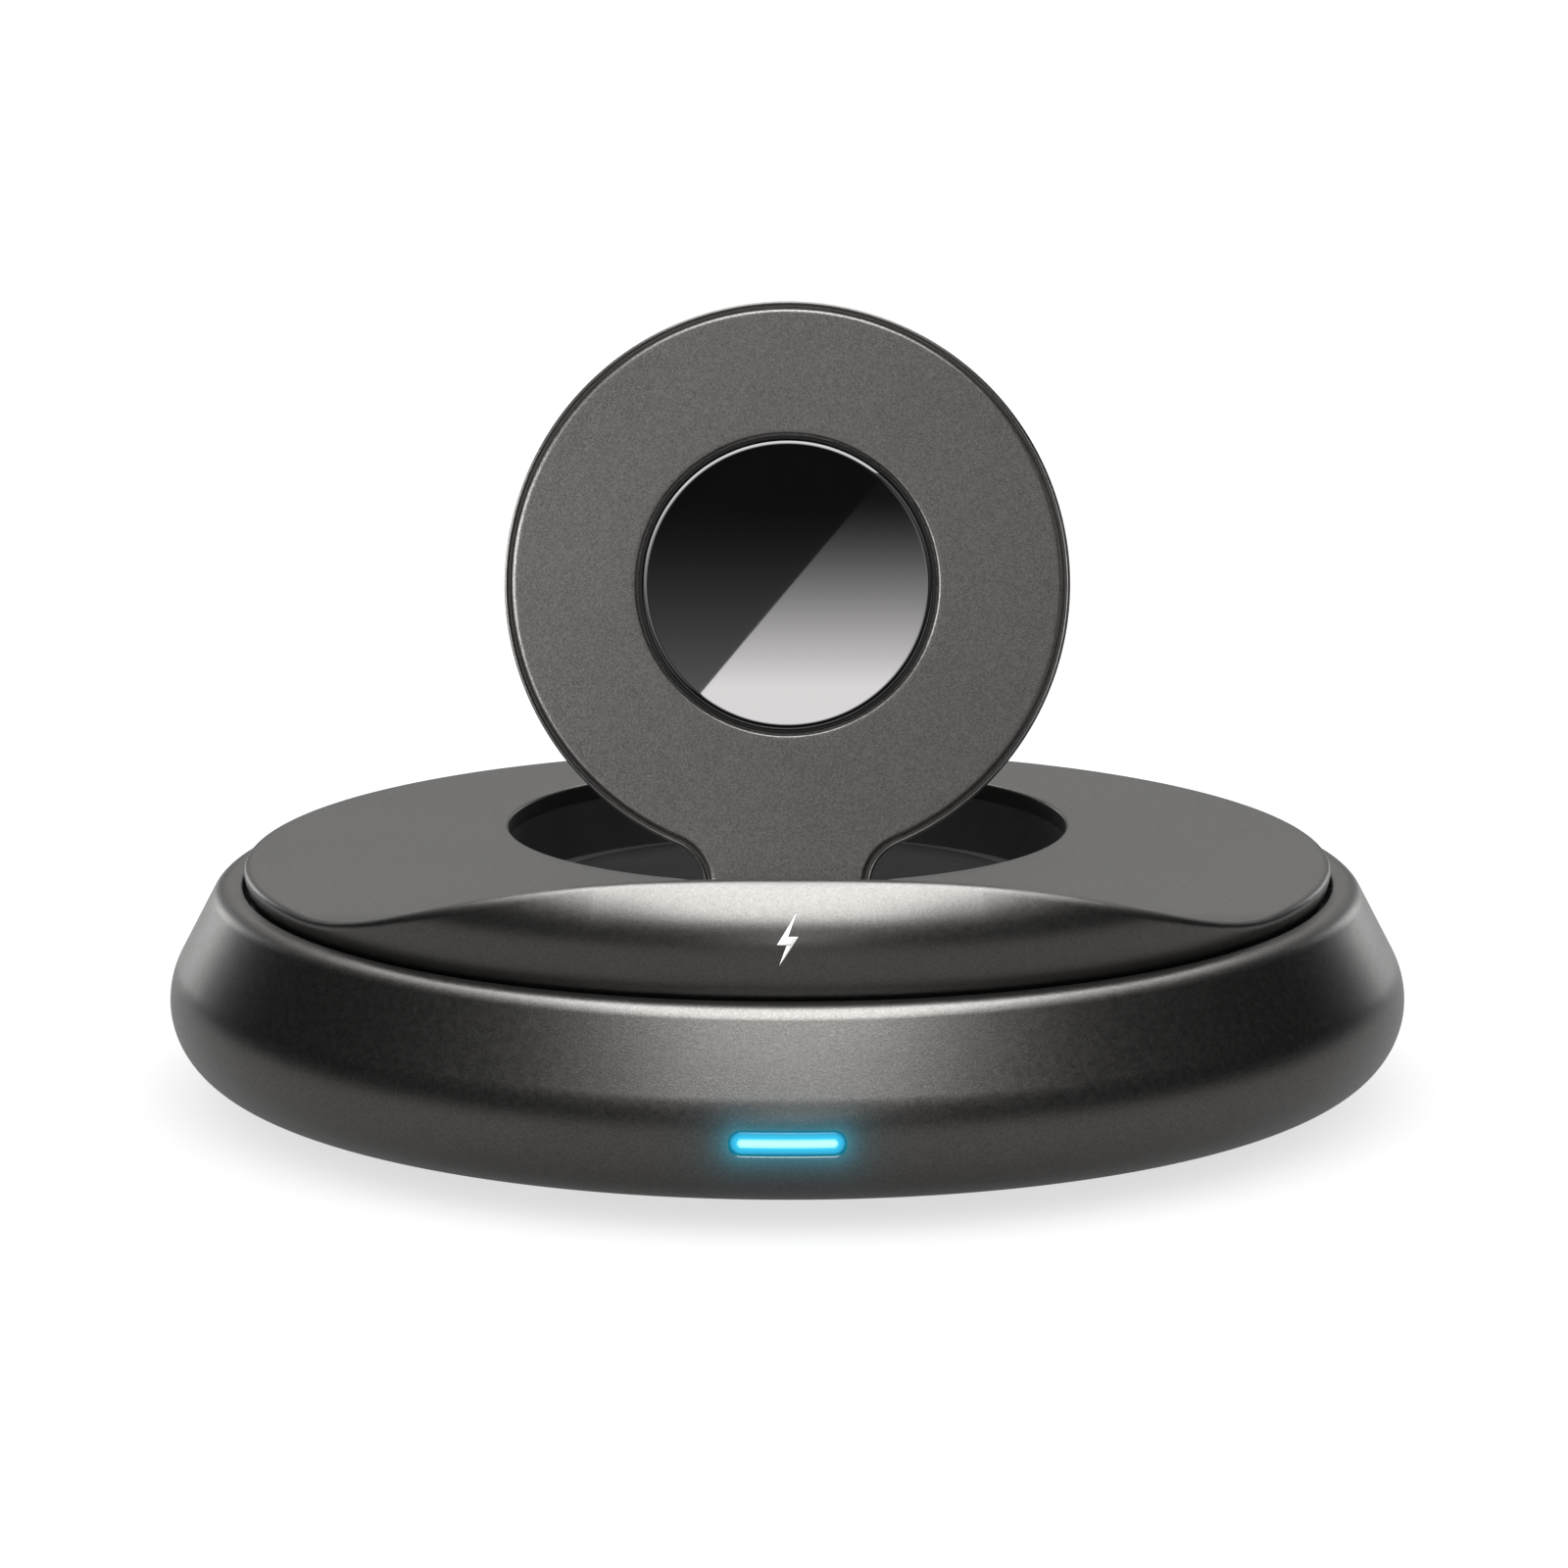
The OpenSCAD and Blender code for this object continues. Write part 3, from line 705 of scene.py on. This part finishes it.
def pill_distance(s):
    """The distance from the indicator's middle line, and the split place it is worked out from."""
    part = s.tree.nodes.new("ShaderNodeSeparateXYZ")
    s.link(s.place, part.inputs[0])
    run = (light_w - light_h) / 2 * MM
    along = s.math("MAXIMUM", s.math("SUBTRACT", s.math("ABSOLUTE", part.outputs["X"]), run), 0.0)
    up = s.math("SUBTRACT", part.outputs["Z"], light_z * MM)
    squares = s.math("ADD", s.math("MULTIPLY", along, along), s.math("MULTIPLY", up, up))
    return s.math("SQRT", squares), part


def skirt_paint():
    """The skirt's paint, with the indicator's light painted on it round the pill."""
    reach = 1.15 * MM
    s = gunmetal("skirt_paint", 0.1, 0.33, 0.3, 0.5)
    away, part = pill_distance(s)
    edge = s.math("MAXIMUM", s.math("SUBTRACT", away, light_h / 2 * MM), 0.0)
    near = s.math("POWER", 2.718, s.math("MULTIPLY", edge, -1 / reach))
    front = s.math("LESS_THAN", part.outputs["Y"], 0.0)
    glow = s.math("MULTIPLY", s.math("MULTIPLY", near, front), 0.38)
    s.set(emission_color=(0.0, 0.4, 0.55))
    s.link(glow, s.shader.inputs["Emission Strength"])
    return s


def light_glow():
    """The lit pill: nearly white in the middle, blue towards its edge."""
    s = Shader("light_glow", (0.01, 0.08, 0.12), 0.25)
    away, _ = pill_distance(s)
    share = s.math("DIVIDE", away, light_h / 2 * MM, True)
    colour = s.ramp(
        share,
        (0.0, (0.6, 1.0, 1.0)),
        (0.22, (0.42, 1.0, 1.0)),
        (0.42, (0.0, 0.48, 0.74)),
        (0.7, (0.0, 0.33, 0.56)),
        (0.95, (0.01, 0.12, 0.2)),
    )
    s.link(colour, s.shader.inputs["Emission Color"])
    s.set(emission_strength=1.0)
    s.bump(s.noise(900, 2), 0.05, 0.00003)
    return s


def lens_black():
    s = Shader("lens_black", (0.004, 0.004, 0.005), 0.03)
    s.set(coat_weight=1.0, coat_roughness=0.008, ior=1.6, specular_ior_level=0.9)
    s.colour(s.noise(30, 2), (0.3, (0.0005, 0.0005, 0.0006)), (0.8, (0.001, 0.001, 0.0012)))
    s.vary_rough(s.noise(80, 3), 0.008, 0.02)
    return s


def board_green():
    s = Shader("board_green", (0.01, 0.09, 0.04), 0.35)
    tracks = s.tree.nodes.new("ShaderNodeTexBrick")
    s.link(s.place, tracks.inputs["Vector"])
    tracks.inputs["Scale"].default_value = 320
    tracks.inputs["Mortar Size"].default_value = 0.03
    tracks.inputs["Color1"].default_value = (0.008, 0.075, 0.035, 1)
    tracks.inputs["Color2"].default_value = (0.012, 0.095, 0.045, 1)
    tracks.inputs["Mortar"].default_value = (0.03, 0.17, 0.08, 1)
    s.link(tracks.outputs["Color"], s.shader.inputs["Base Color"])
    s.bump(tracks.outputs["Fac"], 0.2, 0.00002)
    return s


def emitter(name, colour, strength):
    s = Shader(name, colour, 0.3)
    s.set(emission_color=colour, emission_strength=strength)
    s.bump(s.noise(600, 2), 0.05, 0.00003)
    return s


def rubber(name, value, shine=0.2):
    s = plastic(name, value, 0.72, 0.5, 1800)
    s.set(specular_ior_level=shine)
    return s


MATERIALS = {
    "skirt_paint": skirt_paint(),
    "cap_paint": gunmetal("cap_paint", 0.1, 0.35, 0.18, 0.35),
    "face_paint": gunmetal("face_paint", 0.085, 0.38, 0.6, 0.9),
    "shell_plastic": gunmetal("shell_plastic", 0.08, 0.32, 0.15, 0.2),
    "black_plastic": plastic("black_plastic", 0.006, 0.55),
    "carrier_plastic": plastic("carrier_plastic", 0.05, 0.5),
    "foot_rubber": rubber("foot_rubber", 0.02),
    "pad_rubber": rubber("pad_rubber", 0.004, 0.06),
    "gasket_rubber": rubber("gasket_rubber", 0.008),
    "thermal_grey": rubber("thermal_grey", 0.3),
    "lens_black": lens_black(),
    "light_lens": light_glow(),
    "led_glow": emitter("led_glow", (0.5, 0.95, 1.0), 1.0),
    "ballast_steel": metal("ballast_steel", grey(0.4), 0.38),
    "screw_steel": metal("screw_steel", grey(0.55), 0.28, True),
    "bracket_steel": metal("bracket_steel", grey(0.38), 0.36),
    "pin_steel": metal("pin_steel", grey(0.6), 0.2, True),
    "yoke_steel": metal("yoke_steel", grey(0.45), 0.32),
    "socket_metal": metal("socket_metal", grey(0.5), 0.26),
    "magnet_nickel": metal("magnet_nickel", (0.62, 0.6, 0.56), 0.16),
    "sleeve_bronze": metal("sleeve_bronze", (0.5, 0.33, 0.16), 0.3, True),
    "coil_copper": metal("coil_copper", (0.72, 0.3, 0.14), 0.25),
    "capacitor_can": metal("capacitor_can", grey(0.66), 0.25, True),
    "board_resin": board_green(),
    "chip_black": plastic("chip_black", 0.015, 0.45),
    "ferrite_grey": plastic("ferrite_grey", 0.045, 0.6),
    "connector_ivory": plastic("connector_ivory", 0, 0.5, tint=(0.62, 0.58, 0.46)),
    "wire_red": plastic("wire_red", 0, 0.4, tint=(0.35, 0.02, 0.015)),
    "print_white": plastic("print_white", 0.7, 0.5, 0.05),
}


def paint(piece, slot):
    piece.data.materials.clear()
    piece.data.materials.append(MATERIALS[slot].material)


# ---------- pieces ----------

paint(make_skirt(), "skirt_paint")
paint(make_light(), "light_lens")
paint(make_cap(), "cap_paint")
arm_shells = make_back_shell()
for shell in arm_shells:
    paint(shell, "shell_plastic")
face_plate = make_face_plate()
paint(face_plate, "face_paint")
arm_pieces = [*arm_shells, face_plate]
paint(make_lens(), "lens_black")
paint(make_gasket(), "gasket_rubber")
paint(make_mark(), "print_white")

for entry in frame["record"]["subparts"]:
    paint(frame["nodes"][entry["node"]], entry["material_slot"])


def soften_edges(node, width):
    """Small rounded edges on a CAD piece that shows."""
    piece = frame["nodes"][node]
    weld = piece.modifiers.new("weld", "WELD")
    weld.merge_threshold = 1e-6
    flat = piece.modifiers.new("flat", "DECIMATE")
    flat.decimate_type = "DISSOLVE"
    flat.angle_limit = math.radians(1)
    bevel = piece.modifiers.new("bevel", "BEVEL")
    bevel.width = width * MM
    bevel.segments = 2
    bevel.limit_method = "ANGLE"
    bevel.angle_limit = math.radians(40)


for name in ("foot_ring", "usb_c_tongue", "well_pad"):
    soften_edges(name, 0.12)


# ---------- camera, floor and light ----------

FLOOR_SELF_LIT = 0.68
FLOOR_MIRROR_DIM = -0.5
OUT_OF_LAMPS = ("floor", "lens")

# Name, place, size and power of each lamp: these fall on the object, but not on floor or lens
OBJECT_LAMPS = (
    ("overhead", (0, 0.0, 1.0), (0.85, 1.98), 49),
    ("overhead_wide", (0, 0.0, 1.0), (1.5, 1.95), 18),
    ("front_high", (0, -0.9, 0.8), (0.5, 0.3), 0.3),
    ("behind", (0, 1.7, 0.5), (2.4, 0.5), 2.2),
    ("rim_left", (-0.62, 1.0, 0.16), (0.2, 0.3), 0.8),
    ("rim_right", (0.62, 1.0, 0.16), (0.2, 0.3), 0.7),
)
# These fall on the arm's shells and face plate only
ARM_LAMPS = (
    ("disc_front", (-0.35, -0.45, 0.1), (0.15, 0.3), 4.0),
    ("disc_left", (-0.8, -0.1, 0.02), (0.5, 0.7), 18.0),
    ("disc_right", (0.8, 0.1, 0.02), (0.3, 0.7), 2.0),
)
LOOK_DOWN = math.radians(11.75)
DISTANCE = 1.0
SENSOR = 36
FRAME_PIXELS = 1600
PIXELS_PER_MM = 9.435
AIM = Vector((-0.00036, 0, 0.0335))


def make_camera():
    data = bpy.data.cameras.new("camera")
    data.sensor_width = SENSOR
    data.lens = SENSOR * PIXELS_PER_MM * 1000 * DISTANCE / FRAME_PIXELS
    camera = bpy.data.objects.new("camera", data)
    back = Vector((0, -math.cos(LOOK_DOWN), math.sin(LOOK_DOWN)))
    camera.location = AIM + back * DISTANCE
    camera.rotation_euler = (-back).to_track_quat("-Z", "Y").to_euler()
    bpy.context.scene.collection.objects.link(camera)
    bpy.context.scene.camera = camera


def make_floor():
    """Pale paper, partly self-lit so that it stays white, and darker where metal mirrors it."""
    bpy.ops.mesh.primitive_plane_add(size=8, location=(0, 0, 0))
    floor = bpy.context.object
    floor.name = "floor"
    s = Shader("floor_paper", (0.9, 0.9, 0.9), 0.9)
    s.set(specular_ior_level=0.0)
    s.colour(s.noise(6, 2), (0.2, grey(0.44)), (0.8, grey(0.46)))
    s.set(emission_color=(1, 1, 1))
    ray = s.tree.nodes.new("ShaderNodeLightPath")
    dim = s.math("MULTIPLY", ray.outputs["Is Glossy Ray"], FLOOR_MIRROR_DIM)
    s.link(s.math("ADD", dim, FLOOR_SELF_LIT), s.shader.inputs["Emission Strength"])
    floor.data.materials.append(s.material)


def area_light(name, at, aim, size, power):
    data = bpy.data.lights.new(name, "AREA")
    data.shape = "RECTANGLE"
    data.size, data.size_y = size
    data.energy = power
    light = bpy.data.objects.new(name, data)
    light.location = at
    light.rotation_euler = (Vector(aim) - Vector(at)).to_track_quat("-Z", "Y").to_euler()
    light.visible_camera = False
    bpy.context.scene.collection.objects.link(light)
    return light


def make_card(name, at, aim, width, height, turn, fade, lowest, highest):
    """A light card that only reflections see, brighter upwards over the stretch called fade."""
    mesh = bpy.data.meshes.new(name)
    corners = [(-width / 2, 0, 0), (width / 2, 0, 0), (width / 2, height, 0), (-width / 2, height, 0)]
    mesh.from_pydata(corners, [], [(0, 1, 2, 3)])
    card = bpy.data.objects.new(name, mesh)
    bpy.context.scene.collection.objects.link(card)
    facing = (Vector(aim) - Vector(at)).to_track_quat("Z", "Y").to_matrix().to_4x4()
    card.matrix_world = Matrix.Translation(at) @ facing @ Matrix.Rotation(turn, 4, "Z")
    card.visible_camera = False
    card.visible_diffuse = False
    card.visible_shadow = False
    s = Shader(name, (0, 0, 0), 1.0)
    s.set(specular_ior_level=0.0, emission_color=(1.0, 0.98, 0.975))
    part = s.tree.nodes.new("ShaderNodeSeparateXYZ")
    s.link(s.place, part.inputs[0])
    up = s.math("MULTIPLY", part.outputs["X"], math.sin(turn))
    up = s.math("ADD", up, s.math("MULTIPLY", part.outputs["Y"], math.cos(turn)))
    share = s.math("DIVIDE", s.math("ADD", up, fade / 2), fade, True)
    rise = s.math("POWER", share, 2.0)
    strength = s.math("ADD", s.math("MULTIPLY", rise, highest - lowest), lowest)
    s.link(strength, s.shader.inputs["Emission Strength"])
    mesh.materials.append(s.material)


def make_world():
    """White surroundings that light the floor but leave the paint's reflections dark."""
    world = bpy.data.worlds.new("studio")
    bpy.context.scene.world = world
    world.use_nodes = True
    world.node_tree.nodes["Background"].inputs["Color"].default_value = (1, 1, 1, 1)
    world.node_tree.nodes["Background"].inputs["Strength"].default_value = 1.0
    world.cycles_visibility.glossy = False


def light_only(light, pieces):
    """The light falls on these pieces and nothing else."""
    group = bpy.data.collections.new(light.name + "_pieces")
    for piece in pieces:
        group.objects.link(piece)
    light.light_linking.receiver_collection = group


def make_lights(arm_pieces):
    middle = Vector((0, 0, 0.03))
    disc = Vector((0, -0.012, 0.058))
    solid = [p for p in bpy.context.scene.objects if p.type == "MESH" and p.name not in OUT_OF_LAMPS]
    for lamps, aim, pieces in ((OBJECT_LAMPS, middle, solid), (ARM_LAMPS, disc, arm_pieces)):
        for name, at, size, power in lamps:
            light_only(area_light(name, at, aim, size, power), pieces)
    edge = Vector((0.0, -1.0, 0.19))
    turn = math.radians(-50)
    fade = 0.1
    make_card("lens_card", edge, disc, 0.5, 0.12, turn, fade, 0.05, 5.2)
    make_card("lens_card_dim", edge, disc, 0.5, -0.2, turn, fade, 0.03, 0.6)


make_camera()
make_floor()
make_world()
make_lights(arm_pieces)
bpy.context.scene.view_settings.view_transform = "Standard"
